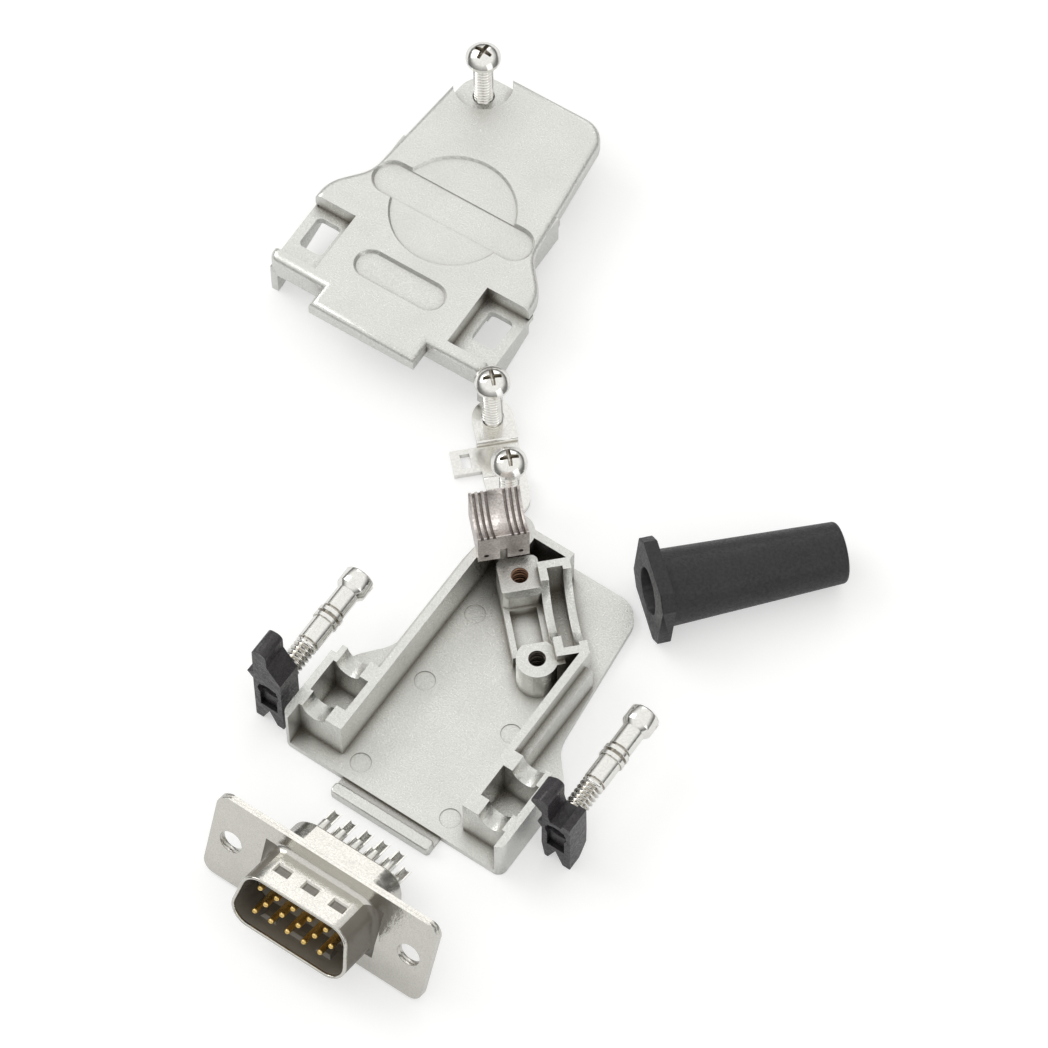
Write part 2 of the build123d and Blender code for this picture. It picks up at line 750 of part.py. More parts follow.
for side_name, (clip_x, clip_y, inward) in clips.items():
    clip_frame = Plane(origin=(clip_x, clip_y, 0), x_dir=(1, 0, 0), z_dir=(0, 0, 1))
    with BuildPart() as jackscrew_clip:
        with BuildSketch(facing_front(clip_frame)) as clip_sketch:
            with BuildLine():
                Polyline(*((inward * x, z) for x, z in clip_profiles[side_name]), close=True)
            make_face()
            fillet(clip_sketch.vertices().sort_by(Axis.Y)[-2:], clip_hook_round)
        extrude(amount=-clip_depth)
        with BuildSketch(facing_front(clip_frame)):
            bar(-clip_pocket[0] / 2, clip_pocket[1], clip_pocket[0] / 2, clip_pocket[2])
        extrude(amount=-clip_pocket_depth, mode=Mode.SUBTRACT)
        with BuildSketch(looking_along_y(clip_frame, 0, 0, clip_axis_z)):
            Circle(clip_bore_r)
        extrude(amount=clip_depth, mode=Mode.SUBTRACT)
        with BuildSketch(looking_along_x(clip_frame, 0, 0, 0)):
            with BuildLine():
                Polyline(
                    (clip_depth - clip_heel[0], 0), (clip_depth, 0), (clip_depth, clip_heel[1]), close=True
                )
            make_face()
        extrude(amount=2 * clip_side, both=True, mode=Mode.SUBTRACT)
    save(jackscrew_clip, f"jackscrew_clip_{side_name}")

# Connector: X along the flange, Z out of the mating face, the origin between the two flanges
back_z = -(sheet_t + can_depth + insulator_back_proud)
cup_end_z = back_z - cup_length
lowest_cup_y = row_pitch * (row_count - 1) / 2 + cup_d / 2
lean = atan2(flange_height / 2 - lowest_cup_y, -cup_end_z - sheet_t)
connector_frame = Plane(
    origin=(
        connector_x,
        connector_front_y + flange_height / 2 * sin(lean) - sheet_t * cos(lean),
        flange_height / 2 * cos(lean) + sheet_t * sin(lean),
    ),
    x_dir=(1, 0, 0),
    z_dir=(0, -cos(lean), sin(lean)),
)
mate_z = sheet_t + plug_depth
flange_holes = [(-hole_spacing / 2, 0), (hole_spacing / 2, 0)]
contact_spots = [
    (
        (column - (pins_per_row - 1) / 2) * pin_pitch + (pin_pitch / 4 if row % 2 else -pin_pitch / 4),
        ((row_count - 1) / 2 - row) * row_pitch,
    )
    for row in range(row_count)
    for column in range(pins_per_row)
]


def edges_at(part, z, width, height):
    """The edges round a shell of that width and height, at one height of the connector's frame."""

    def on_shell(edge):
        spot = connector_frame.to_local_coords(edge.center())
        near_axis = abs(spot.X) < width / 2 + plug_wall and abs(spot.Y) < height / 2 + plug_wall
        return near_axis and abs(spot.Z - z) < plane_tolerance

    return part.edges().filter_by(on_shell)


with BuildSketch() as flange_plan:
    RectangleRounded(flange_width, flange_height, flange_corner_r)
    with Locations(*flange_holes):
        Circle(flange_hole_d / 2, mode=Mode.SUBTRACT)

with BuildPart() as connector_front_shell:
    with BuildSketch(connector_frame):
        add(flange_plan.sketch)
    extrude(amount=sheet_t)
    with BuildSketch(connector_frame):
        d_outline(plug_width, plug_height, plug_corner_r)
    extrude(amount=mate_z)
    fillet(edges_at(connector_front_shell, sheet_t, plug_width, plug_height), root_bead)
    with BuildSketch(connector_frame):
        d_outline(plug_width, plug_height, plug_corner_r, grow=-plug_wall)
    extrude(amount=mate_z, mode=Mode.SUBTRACT)
    fillet(edges_at(connector_front_shell, mate_z, plug_width, plug_height), rim_r)
    side_plane = looking_along_y(connector_frame, 0, 0, sheet_t + dimple_from_flange)
    for side in (-1, 1):
        dimple_plane = side_plane.offset(side * plug_height / 2)
        with BuildSketch(dimple_plane.offset(-side * plug_wall / 2)):
            with GridLocations(dimple_pitch, 1, dimple_count, 1):
                Rectangle(*dimple_size)
        extrude(amount=-side * (plug_wall / 2 + dimple_depth), taper=dimple_draft)
        with BuildSketch(dimple_plane):
            with GridLocations(dimple_pitch, 1, dimple_count, 1):
                Rectangle(dimple_size[0] - plug_wall, dimple_size[1] - plug_wall)
        extrude(amount=-side * dimple_depth, taper=dimple_draft, mode=Mode.SUBTRACT)
save(connector_front_shell, "connector_front_shell")

with BuildPart() as connector_rear_shell:
    with BuildSketch(connector_frame):
        add(flange_plan.sketch)
    extrude(amount=-sheet_t)
    with BuildSketch(connector_frame):
        d_outline(can_width, can_height, can_corner_r)
    extrude(amount=-sheet_t - can_depth)
    fillet(edges_at(connector_rear_shell, -sheet_t, can_width, can_height), root_bead / 2)
    with BuildSketch(connector_frame):
        d_outline(can_width, can_height, can_corner_r, grow=-plug_wall)
    extrude(amount=-sheet_t - can_depth, mode=Mode.SUBTRACT)
save(connector_rear_shell, "connector_rear_shell")

# Insulators: the front one in the plug shell, the rear one in the can
with BuildPart() as connector_front_insulator:
    with BuildSketch(connector_frame):
        d_outline(plug_width, plug_height, plug_corner_r, grow=-plug_wall - insulator_clearance)
        with Locations(*contact_spots):
            Circle(pin_d / 2 + contact_clearance, mode=Mode.SUBTRACT)
    extrude(amount=sheet_t + insulator_front)
save(connector_front_insulator, "connector_front_insulator")

with BuildPart() as connector_rear_insulator:
    with BuildSketch(connector_frame):
        d_outline(can_width, can_height, can_corner_r, grow=-plug_wall - insulator_clearance)
        with Locations(*contact_spots):
            Circle(contact_collar_d / 2 + contact_clearance, mode=Mode.SUBTRACT)
    extrude(amount=back_z)
save(connector_rear_insulator, "connector_rear_insulator")

# Contacts: round-nosed pin, collar seated in the rear insulator, scooped solder cup
pin_end_z = mate_z - pin_recess
for number, (contact_x, contact_y) in enumerate(contact_spots, start=1):
    contact_frame = moved(connector_frame, contact_x, contact_y)
    with BuildPart() as contact:
        with BuildSketch(facing_front(contact_frame)):
            with BuildLine():
                body = Polyline(
                    (0, pin_end_z),
                    (0, cup_end_z + cup_bore_depth),
                    (cup_bore_d / 2, cup_end_z + cup_bore_depth),
                    (cup_bore_d / 2, cup_end_z),
                    (cup_d / 2, cup_end_z),
                    (cup_d / 2, back_z),
                    (contact_collar_d / 2, back_z),
                    (contact_collar_d / 2, 0),
                    (pin_d / 2, 0),
                    (pin_d / 2, pin_end_z - pin_d / 2),
                )
                RadiusArc(body @ 1, body @ 0, -pin_d / 2)
            make_face()
        revolve(axis=Axis(contact_frame.origin, contact_frame.z_dir))
        with BuildSketch(contact_frame.offset(cup_end_z)):
            bar(-cup_d, 0, cup_d, cup_d)
        extrude(amount=cup_cut_length, mode=Mode.SUBTRACT)
    save(contact, f"contact_{number:02d}")
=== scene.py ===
# %% [markdown]
# # A cable hood kit, dressed for its picture
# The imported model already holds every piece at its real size, so this lesson adds what a solid
# model leaves out: plated and moulded finishes, softened edges, screw threads, a floor, light
# and a camera.

import json
from math import ceil, cos, pi, radians, sin, sqrt

import bmesh
import bpy
from mathutils import Matrix, Vector


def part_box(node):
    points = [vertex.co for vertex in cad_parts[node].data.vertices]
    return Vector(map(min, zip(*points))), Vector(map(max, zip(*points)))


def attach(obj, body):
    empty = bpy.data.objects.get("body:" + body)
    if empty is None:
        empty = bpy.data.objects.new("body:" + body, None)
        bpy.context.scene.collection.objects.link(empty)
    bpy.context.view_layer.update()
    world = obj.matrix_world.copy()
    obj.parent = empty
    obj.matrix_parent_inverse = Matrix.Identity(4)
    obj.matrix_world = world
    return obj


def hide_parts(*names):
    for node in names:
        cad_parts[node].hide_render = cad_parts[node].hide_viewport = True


MM = 0.001
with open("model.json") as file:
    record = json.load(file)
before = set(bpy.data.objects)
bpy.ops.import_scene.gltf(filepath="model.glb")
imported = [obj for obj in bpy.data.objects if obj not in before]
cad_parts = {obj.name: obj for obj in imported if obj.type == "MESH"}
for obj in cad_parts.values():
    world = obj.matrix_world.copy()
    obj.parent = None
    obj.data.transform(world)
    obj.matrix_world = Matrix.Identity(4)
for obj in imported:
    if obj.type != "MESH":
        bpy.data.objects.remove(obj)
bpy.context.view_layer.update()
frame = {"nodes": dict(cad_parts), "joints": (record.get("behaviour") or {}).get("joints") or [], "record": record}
nodes = frame["nodes"]

# %% [markdown]
# ## The camera
# The picture looks down at about 61 degrees, from 34.5 degrees to the right of the hood's own
# axis, through a long lens that keeps parallel edges almost parallel. A camera needs a place and
# a direction. Both come from one vector that points from the table back to the lens, and the
# distance follows from the lens and from how wide the picture is at the table.

# %% Camera
VIEW_AZIMUTH, VIEW_ELEVATION = radians(34.5), radians(61.0)
back = Vector(
    (
        sin(VIEW_AZIMUTH) * cos(VIEW_ELEVATION),
        -cos(VIEW_AZIMUTH) * cos(VIEW_ELEVATION),
        sin(VIEW_ELEVATION),
    )
)
picture_width = 126.3 * MM
looked_at = Vector((-8.85, 40.25, 0.0)) * MM

camera_data = bpy.data.cameras.new("camera")
camera_data.lens = 175
camera_data.sensor_width = 36
camera_data.clip_start = 0.01
camera_data.clip_end = 20
camera = bpy.data.objects.new("camera", camera_data)
bpy.context.scene.collection.objects.link(camera)
distance = picture_width * camera_data.lens / camera_data.sensor_width
camera.location = looked_at + back * distance
camera.rotation_euler = back.to_track_quat("Z", "Y").to_euler()
bpy.context.scene.camera = camera
print("camera at", [round(v, 3) for v in camera.location], "distance", round(distance, 3))

# %% [markdown]
# ## Small helpers for node trees
# Every finish and every modifier below is a tree of nodes. A few helpers keep the cells short:
# one adds a node and sets its properties, one joins an output to an input, and one does a sum.


# %% Node helpers
def add_node(tree, kind, **settings):
    """A new node of that kind, with its properties set."""
    node = tree.nodes.new(kind)
    for name, value in settings.items():
        setattr(node, name, value)
    return node


def join(tree, output, target):
    """A link from an output socket to an input socket."""
    tree.links.new(output, target)


def calculate(tree, operation, first, second=None, third=None):
    """A Math node fed by numbers or sockets, and its output."""
    node = add_node(tree, "ShaderNodeMath", operation=operation)
    for socket, value in zip(node.inputs, (first, second, third)):
        if isinstance(value, (int, float)):
            socket.default_value = value
        elif value is not None:
            join(tree, value, socket)
    return node.outputs[0]


print("helpers ready")

# %% [markdown]
# ## Floor and light
# Metal shows what is round it, so the light matters as much as the finish. A sky that is bright
# overhead and dark at the horizon gives every rounded edge a darker line. The table is white
# paper that keeps the shadows. A little light of its own, for the camera and for reflections,
# lifts it to the white of the picture without lighting the object more.

# %% Floor
floor_mesh = bpy.data.meshes.new("table")
half = 3.0
below = -0.05 * MM
floor_mesh.from_pydata(
    [(-half, -half, below), (half, -half, below), (half, half, below), (-half, half, below)],
    [],
    [(0, 1, 2, 3)],
)
floor = bpy.data.objects.new("table", floor_mesh)
bpy.context.scene.collection.objects.link(floor)

paper_color = (0.62, 0.62, 0.62, 1)
camera_lift, mirror_lift = 0.46, 0.25
paper = bpy.data.materials.new("white_paper")
paper.use_nodes = True
tree = paper.node_tree
tree.nodes.clear()
diffuse = add_node(tree, "ShaderNodeBsdfDiffuse")
diffuse.inputs["Color"].default_value = paper_color
lift = add_node(tree, "ShaderNodeEmission")
lift.inputs["Color"].default_value = (1, 1, 1, 1)
path = add_node(tree, "ShaderNodeLightPath")
mirrored = calculate(tree, "MULTIPLY", path.outputs["Is Glossy Ray"], mirror_lift)
seen = calculate(tree, "MULTIPLY_ADD", path.outputs["Is Camera Ray"], camera_lift, mirrored)
join(tree, seen, lift.inputs["Strength"])
together = add_node(tree, "ShaderNodeAddShader")
join(tree, diffuse.outputs[0], together.inputs[0])
join(tree, lift.outputs[0], together.inputs[1])
output = add_node(tree, "ShaderNodeOutputMaterial")
join(tree, together.outputs[0], output.inputs["Surface"])
floor_mesh.materials.append(paper)
print("floor", floor.name, "half width", half)

# %% Sky
world = bpy.data.worlds.new("studio")
bpy.context.scene.world = world
world.use_nodes = True
tree = world.node_tree
tree.nodes.clear()
direction = add_node(tree, "ShaderNodeTexCoord")
split = add_node(tree, "ShaderNodeSeparateXYZ")
join(tree, direction.outputs["Generated"], split.inputs[0])
ramp = add_node(tree, "ShaderNodeValToRGB")
ramp.color_ramp.interpolation = "EASE"
horizon, overhead = ramp.color_ramp.elements
horizon.position, horizon.color = 0.08, (0.13, 0.13, 0.125, 1)
overhead.position, overhead.color = 0.62, (0.93, 0.93, 0.91, 1)
join(tree, split.outputs["Z"], ramp.inputs["Fac"])
sky = add_node(tree, "ShaderNodeBackground")
join(tree, ramp.outputs["Color"], sky.inputs["Color"])
output = add_node(tree, "ShaderNodeOutputWorld")
join(tree, sky.outputs[0], output.inputs["Surface"])
print("sky from", round(horizon.color[0], 2), "to", round(overhead.color[0], 2), "overhead")


# %% Soft boxes
def soft_box(name, place, size, radiance):
    """Its power gives the wanted brightness over its face."""
    lamp = bpy.data.lights.new(name, "AREA")
    lamp.shape = "SQUARE"
    lamp.size = size
    lamp.energy = radiance * pi * size**2
    box = bpy.data.objects.new(name, lamp)
    bpy.context.scene.collection.objects.link(box)
    box.location = looked_at + Vector(place)
    box.rotation_euler = Vector(place).to_track_quat("Z", "Y").to_euler()
    print(name, "power", round(lamp.energy, 2))


soft_box("left_box", (-0.62, -0.05, 0.5), size=0.5, radiance=2.0)
soft_box("low_rear_box", (-0.3, 0.85, 0.45), size=0.45, radiance=0.8)
soft_box("right_box", (0.75, -0.2, 0.25), size=0.45, radiance=0.8)

# %% [markdown]
# ## Finishes
# The photo shows eight finishes: satin plate on the die-cast halves, bright plate on screws and
# strap, tin on the connector's shells, a warmer grey on the clamp insert, gold on the contacts,
# black moulded plastic, a brown-grey one for the plug's insulators, and black rubber. Two things
# repeat in them: a fine grain breaks up the surface, and a slow cloud varies how polished it is.
# Both are made once as a node group, with their own sizes for every finish that uses it. On drawn
# sheet and on moulded plastic the cloud also stands up as low waves, which break up reflections.


# %% Grain group
def new_group(name, inputs, outputs):
    """An empty shader group with named sockets, and its two end nodes."""
    group = bpy.data.node_groups.new(name, "ShaderNodeTree")
    for socket_name, kind, value in inputs:
        socket = group.interface.new_socket(socket_name, in_out="INPUT", socket_type=kind)
        if value is not None:
            socket.default_value = value
    for socket_name, kind in outputs:
        group.interface.new_socket(socket_name, in_out="OUTPUT", socket_type=kind)
    return group, add_node(group, "NodeGroupInput"), add_node(group, "NodeGroupOutput")


grain, given, result = new_group(
    "grain_and_cloud",
    [
        ("Position", "NodeSocketVector", None),
        ("Grain per metre", "NodeSocketFloat", 6000.0),
        ("Cloud per metre", "NodeSocketFloat", 150.0),
        ("Base color", "NodeSocketColor", (0.7, 0.7, 0.7, 1)),
        ("Cloud color", "NodeSocketColor", (0.6, 0.6, 0.6, 1)),
        ("Roughness", "NodeSocketFloat", 0.35),
        ("Roughness spread", "NodeSocketFloat", 0.1),
        ("Wave height", "NodeSocketFloat", 0.0),
    ],
    [
        ("Color", "NodeSocketColor"),
        ("Roughness", "NodeSocketFloat"),
        ("Height", "NodeSocketFloat"),
    ],
)
fine = add_node(grain, "ShaderNodeTexNoise")
fine.inputs["Detail"].default_value = 3
fine.inputs["Roughness"].default_value = 0.6
join(grain, given.outputs["Position"], fine.inputs["Vector"])
join(grain, given.outputs["Grain per metre"], fine.inputs["Scale"])
cloud = add_node(grain, "ShaderNodeTexNoise")
cloud.inputs["Detail"].default_value = 4
join(grain, given.outputs["Position"], cloud.inputs["Vector"])
join(grain, given.outputs["Cloud per metre"], cloud.inputs["Scale"])
fine_weight, cloud_weight = 2.6, 0.7
mottle_offset = 0.5 * (1.0 - fine_weight - cloud_weight)
spots = calculate(grain, "MULTIPLY_ADD", fine.outputs["Fac"], fine_weight, mottle_offset)
spots = calculate(grain, "MULTIPLY_ADD", cloud.outputs["Fac"], cloud_weight, spots)
mottle = calculate(grain, "MINIMUM", calculate(grain, "MAXIMUM", spots, 0.0), 1.0)
blend = add_node(grain, "ShaderNodeMix", data_type="RGBA")
join(grain, mottle, blend.inputs["Factor"])
join(grain, given.outputs["Base color"], blend.inputs["A"])
join(grain, given.outputs["Cloud color"], blend.inputs["B"])
join(grain, blend.outputs["Result"], result.inputs["Color"])
from_mean = calculate(grain, "SUBTRACT", mottle, 0.5)
swing = calculate(grain, "MULTIPLY", from_mean, given.outputs["Roughness spread"])
roughness = calculate(grain, "ADD", swing, given.outputs["Roughness"])
join(grain, roughness, result.inputs["Roughness"])
wave = calculate(grain, "MULTIPLY", cloud.outputs["Fac"], given.outputs["Wave height"])
join(grain, calculate(grain, "ADD", fine.outputs["Fac"], wave), result.inputs["Height"])
print("group", grain.name, [s.name for s in grain.interface.items_tree])


# %% Make a finish
def finish(
    name, metallic, base, cloud_color, roughness, spread, grain_mm, cloud_mm, bump_mm, waves=0.0
):
    """A material from the grain group and one Principled shader. Sizes are in millimetres."""
    material = bpy.data.materials.new(name)
    material.use_nodes = True
    tree = material.node_tree
    surface = tree.nodes["Principled BSDF"]
    surface.inputs["Metallic"].default_value = metallic
    where = add_node(tree, "ShaderNodeTexCoord")
    effect = add_node(tree, "ShaderNodeGroup", node_tree=grain)
    join(tree, where.outputs["Object"], effect.inputs["Position"])
    effect.inputs["Grain per metre"].default_value = 1 / (grain_mm * MM)
    effect.inputs["Cloud per metre"].default_value = 1 / (cloud_mm * MM)
    effect.inputs["Base color"].default_value = (*base, 1)
    effect.inputs["Cloud color"].default_value = (*cloud_color, 1)
    effect.inputs["Roughness"].default_value = roughness
    effect.inputs["Roughness spread"].default_value = spread
    effect.inputs["Wave height"].default_value = waves
    join(tree, effect.outputs["Color"], surface.inputs["Base Color"])
    join(tree, effect.outputs["Roughness"], surface.inputs["Roughness"])
    bump = add_node(tree, "ShaderNodeBump")
    bump.inputs["Distance"].default_value = bump_mm * MM
    join(tree, effect.outputs["Height"], bump.inputs["Height"])
    join(tree, bump.outputs["Normal"], surface.inputs["Normal"])
    print("finish", name)
    return material


# %% Metal finishes
satin_zinc = finish(
    "satin_zinc", metallic=1.0, base=(0.85, 0.85, 0.825), cloud_color=(0.64, 0.64, 0.615),
    roughness=0.33, spread=0.22, grain_mm=0.17, cloud_mm=6.0, bump_mm=0.035,
)
bright_nickel = finish(
    "bright_nickel", metallic=1.0, base=(0.95, 0.94, 0.91), cloud_color=(0.86, 0.85, 0.82),
    roughness=0.15, spread=0.12, grain_mm=0.3, cloud_mm=3.0, bump_mm=0.006,
)
tinned_steel = finish(
    "tinned_steel", metallic=1.0, base=(0.72, 0.705, 0.66), cloud_color=(0.62, 0.605, 0.565),
    roughness=0.2, spread=0.12, grain_mm=0.2, cloud_mm=2.6, bump_mm=0.014, waves=10.0,
)
warm_zinc = finish(
    "warm_zinc", metallic=1.0, base=(0.74, 0.69, 0.665), cloud_color=(0.50, 0.46, 0.44),
    roughness=0.4, spread=0.25, grain_mm=0.25, cloud_mm=2.0, bump_mm=0.05,
)
gold_plate = finish(
    "gold_plate", metallic=1.0, base=(0.95, 0.70, 0.28), cloud_color=(0.84, 0.58, 0.20),
    roughness=0.3, spread=0.14, grain_mm=0.25, cloud_mm=1.5, bump_mm=0.004,
)

# %% Plastic and rubber finishes
black_plastic = finish(
    "black_plastic", metallic=0.0, base=(0.050, 0.044, 0.050), cloud_color=(0.014, 0.012, 0.014),
    roughness=0.34, spread=0.25, grain_mm=0.3, cloud_mm=1.4, bump_mm=0.04, waves=4.0,
)
insulator_plastic = finish(
    "insulator_plastic", metallic=0.0, base=(0.36, 0.33, 0.285), cloud_color=(0.29, 0.265, 0.23),
    roughness=0.5, spread=0.2, grain_mm=0.3, cloud_mm=2.0, bump_mm=0.01,
)
black_rubber = finish(
    "black_rubber", metallic=0.0, base=(0.024, 0.0215, 0.025), cloud_color=(0.011, 0.010, 0.012),
    roughness=0.45, spread=0.2, grain_mm=0.35, cloud_mm=5.0, bump_mm=0.03,
)

# %% [markdown]
# ## Where the colour changes on one piece
# Each contact is one turned piece, gold on the pin and tin on the solder cup. The plug's shell is
# painted dark and not metallic inside, as painted shade. In the far tapped hole of the base the plate
# is gone and the copper below it shows; the near hole is painted dark, as painted shade.
# None of these changes follows an edge that a material slot could take, so each is read from the
# place on the piece. Object coordinates give that place, and a dot product with the plug's own
# axis tells how far along or across it a point lies.


# %% Masks from the place on a piece
def measure_along(tree, origin, direction):
    """How far a point of the piece lies from an origin along a direction, in metres."""
    where = add_node(tree, "ShaderNodeTexCoord")
    away = add_node(tree, "ShaderNodeVectorMath", operation="SUBTRACT")
    join(tree, where.outputs["Object"], away.inputs[0])
    away.inputs[1].default_value = origin
    along = add_node(tree, "ShaderNodeVectorMath", operation="DOT_PRODUCT")
    join(tree, away.outputs["Vector"], along.inputs[0])
    along.inputs[1].default_value = direction
    return along.outputs["Value"]


def within(tree, value, half_range):
    """1 where a measure is between minus and plus half its range, 0 elsewhere."""
    return calculate(tree, "LESS_THAN", calculate(tree, "ABSOLUTE", value), half_range)


def inside_round(tree, centre, hole_radius, top):
    """1 inside an upright round hole below its rim, 0 elsewhere."""
    across = calculate(tree, "POWER", measure_along(tree, centre, (1, 0, 0)), 2.0)
    away = calculate(tree, "POWER", measure_along(tree, centre, (0, 1, 0)), 2.0)
    near = calculate(tree, "LESS_THAN", calculate(tree, "ADD", across, away), hole_radius**2)
    low = calculate(tree, "LESS_THAN", measure_along(tree, (0, 0, top), (0, 0, 1)), 0.0)
    return calculate(tree, "MULTIPLY", near, low)


def recolor(material, mask, color):
    """Where the mask is 1, the finish takes another colour."""
    tree = material.node_tree
    surface = tree.nodes["Principled BSDF"]
    before = surface.inputs["Base Color"].links[0].from_socket
    mix = add_node(tree, "ShaderNodeMix", data_type="RGBA")
    join(tree, mask, mix.inputs["Factor"])
    join(tree, before, mix.inputs["A"])
    mix.inputs["B"].default_value = (*color, 1)
    join(tree, mix.outputs["Result"], surface.inputs["Base Color"])


def paint_crease_shade(material, reach, color, gain=1.9, falloff=1.6):
    """Inner corners and narrow gaps take a darker colour, as painted shade."""
    # Painted shade: the less open a point is within the reach, the more of the darker colour it takes.
    tree = material.node_tree
    corner = add_node(tree, "ShaderNodeAmbientOcclusion", samples=8, only_local=True)
    corner.inputs["Distance"].default_value = reach
    openness = corner.outputs["AO"]
    closed = calculate(tree, "MULTIPLY", calculate(tree, "SUBTRACT", 1.0, openness), gain)
    mask = calculate(tree, "MINIMUM", calculate(tree, "POWER", closed, falloff), 1.0)
    recolor(material, mask, color)


print("masks ready")

# %% Gold pins and tinned cups
plug = next(mount for mount in frame["record"]["mounts"] if mount["name"] == "mating_face")
plug_front = Vector(plug["pos_m"])
plug_axis = Vector(plug["axis"])
plug_up = plug_axis.cross(Vector((1, 0, 0)))
pin_to_cup = 11.9 * MM
gold_ends_at = plug_front - plug_axis * pin_to_cup
behind = calculate(
    gold_plate.node_tree,
    "LESS_THAN",
    measure_along(gold_plate.node_tree, gold_ends_at, plug_axis),
    0.0,
)
recolor(gold_plate, behind, (0.80, 0.79, 0.75))
print("gold ends at", [round(v / MM, 2) for v in gold_ends_at])

# %% Painted shade inside the plug's shell
shell_with_painted_shade = tinned_steel.copy()
shell_with_painted_shade.name = "plug_shell_painted_shade"
shell_tree = shell_with_painted_shade.node_tree
inner_half_width, inner_half_height = 8.25 * MM, 3.97 * MM
sideways = measure_along(shell_tree, plug_front, (1, 0, 0))
between = within(shell_tree, sideways, inner_half_width)
upwards = measure_along(shell_tree, plug_front, plug_up)
level = within(shell_tree, upwards, inner_half_height)
between = calculate(shell_tree, "MULTIPLY", between, level)
rim_depth = 0.35 * MM
before_rim = measure_along(shell_tree, plug_front, plug_axis)
deep = calculate(shell_tree, "LESS_THAN", before_rim, -rim_depth)
inside = calculate(shell_tree, "MULTIPLY", between, deep)
# Painted shade: inside the shell the tin is painted dark brown-grey and made not metallic, and it stays metallic
# outside.
recolor(shell_with_painted_shade, inside, (0.17, 0.155, 0.13))
metallic_outside_shade = calculate(shell_tree, "SUBTRACT", 1.0, inside)
join(shell_tree, metallic_outside_shade, shell_tree.nodes["Principled BSDF"].inputs["Metallic"])
print("inside of the shell", shell_with_painted_shade.name)

# %% Bare copper and painted shade in the tapped holes
cable_exit = Vector((0.6, 27.4, 0.0)) * MM
across_exit = Vector((cos(radians(-45)), sin(radians(-45)), 0.0))
screw_from_exit = 5.65 * MM
boss_top = 6.2 * MM
hole_radius = 1.05 * MM
hole_spots = {
    "far": cable_exit - across_exit * screw_from_exit,
    "near": cable_exit + across_exit * screw_from_exit,
}
# The far hole's copper is its own colour; the near hole's dark colour is painted shade.
hole_colors = {"far": (0.50, 0.30, 0.20), "near": (0.16, 0.13, 0.11)}
mask_radius, mask_top = hole_radius * 1.03, boss_top - 0.02 * MM
base_finish = satin_zinc.copy()
base_finish.name = "satin_zinc_base"
for spot_name, color in hole_colors.items():
    mask = inside_round(base_finish.node_tree, hole_spots[spot_name], mask_radius, mask_top)
    recolor(base_finish, mask, color)
print("holes at", {name: [round(v / MM, 2) for v in spot] for name, spot in hole_spots.items()})

# %% [markdown]
# Inner corners, the roots of a thread and a driver's recess are painted darker, as painted shade.
# The Ambient Occlusion node measures how closed in a point is within a short reach, and that sets
# how much darker the colour is painted there. Only the piece itself counts, so a neighbour adds
# no painted shade.

# %% Painted shade in corners
# Painted shade: each finish is painted darker in its inner corners, gaps, thread roots and recesses, in these
# colours.
for material in (satin_zinc, base_finish):
    paint_crease_shade(material, 2.0 * MM, (0.24, 0.225, 0.20))
paint_crease_shade(warm_zinc, 0.8 * MM, (0.22, 0.19, 0.175))
paint_crease_shade(bright_nickel, 0.5 * MM, (0.50, 0.475, 0.43))
for material in (tinned_steel, shell_with_painted_shade):
    paint_crease_shade(material, 0.7 * MM, (0.38, 0.365, 0.34))
paint_crease_shade(black_plastic, 1.0 * MM, (0.008, 0.007, 0.008))
print("corners darkened on 7 finishes")

# %% [markdown]
# ## Threads
# A thread is a groove that climbs one pitch in each turn. As a boolean that is a slow, fragile
# cut, but on a turned shaft it is only a rule: how deep a point sits depends on its height and
# its angle. So the shaft is lathed plainly with close rings, and a Geometry Nodes tree pushes
# each point inwards by that rule. At both of its ends the groove fades over one pitch. Here it
# starts a pitch below the tip, so it runs right off the shaft. The tree's inputs are the sizes
# of the thread, so one tree serves the small screws and the jackscrews.


# %% Geometry node helpers
def new_tree(name, inputs):
    """An empty Geometry Nodes tree with a mesh in and out, named inputs, and its end nodes."""
    tree = bpy.data.node_groups.new(name, "GeometryNodeTree")
    tree.interface.new_socket("Geometry", in_out="INPUT", socket_type="NodeSocketGeometry")
    for socket_name, kind, value in inputs:
        socket = tree.interface.new_socket(socket_name, in_out="INPUT", socket_type=kind)
        if value is not None:
            socket.default_value = value
    tree.interface.new_socket("Geometry", in_out="OUTPUT", socket_type="NodeSocketGeometry")
    return tree, add_node(tree, "NodeGroupInput"), add_node(tree, "NodeGroupOutput")


def finish_tree(tree, given, result, geometry):
    """The last steps of every tree: real geometry and one material."""
    real = add_node(tree, "GeometryNodeRealizeInstances")
    join(tree, geometry, real.inputs["Geometry"])
    paint = add_node(tree, "GeometryNodeSetMaterial")
    join(tree, real.outputs["Geometry"], paint.inputs["Geometry"])
    join(tree, given.outputs["Finish"], paint.inputs["Material"])
    join(tree, paint.outputs["Geometry"], result.inputs["Geometry"])


def run_trees(name, mesh, steps, place):
    """A plain mesh from a mesh and a list of (tree, values) steps, set down at its place."""
    source = bpy.data.objects.new(name + "_source", mesh)
    bpy.context.scene.collection.objects.link(source)
    for tree, values in steps:
        modifier = source.modifiers.new(tree.name, "NODES")
        modifier.node_group = tree
        for item in tree.interface.items_tree:
            if item.in_out == "INPUT" and item.name in values:
                modifier[item.identifier] = values[item.name]
    evaluated = source.evaluated_get(bpy.context.evaluated_depsgraph_get())
    plain = bpy.data.meshes.new_from_object(evaluated)
    plain.name = name
    bpy.data.objects.remove(source)
    plain.transform(place)
    plain.set_sharp_from_angle(angle=radians(32))
    piece = bpy.data.objects.new(name, plain)
    bpy.context.scene.collection.objects.link(piece)
    return piece


print("geometry helpers ready")

